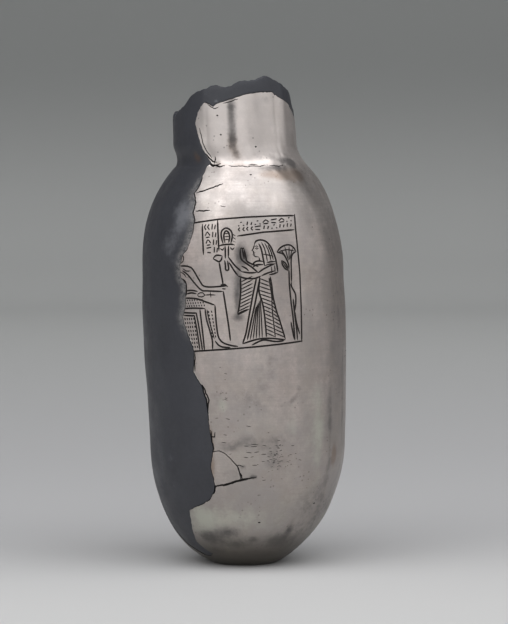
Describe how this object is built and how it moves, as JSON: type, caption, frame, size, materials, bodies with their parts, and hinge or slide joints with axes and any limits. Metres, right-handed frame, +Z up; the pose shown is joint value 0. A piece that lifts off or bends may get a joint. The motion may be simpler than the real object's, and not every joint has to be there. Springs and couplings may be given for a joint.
{
  "type": "ancient egyptian bottle",
  "caption": "Tall round-bottomed silver bottle with a short neck, a broken rim, an engraved panel and a dark modern fill down one side.",
  "frame": {"origin": "centre of the small flat foot the bottle stands on", "axes": "+Z up along the bottle, -Y towards the engraved panel, +X to the viewer's right"},
  "size_m": [0.0719, 0.072, 0.1716],
  "materials": {
    "aged_silver": "old hammered silver, satin, with grey-brown tarnish",
    "dark_fill": "smooth satin dark blue-grey filler"
  },
  "bodies": {
    "root": {"silver_body": "aged_silver", "silver_sherd": "aged_silver", "grey_fill": "dark_fill"}
  },
  "joints": []
}
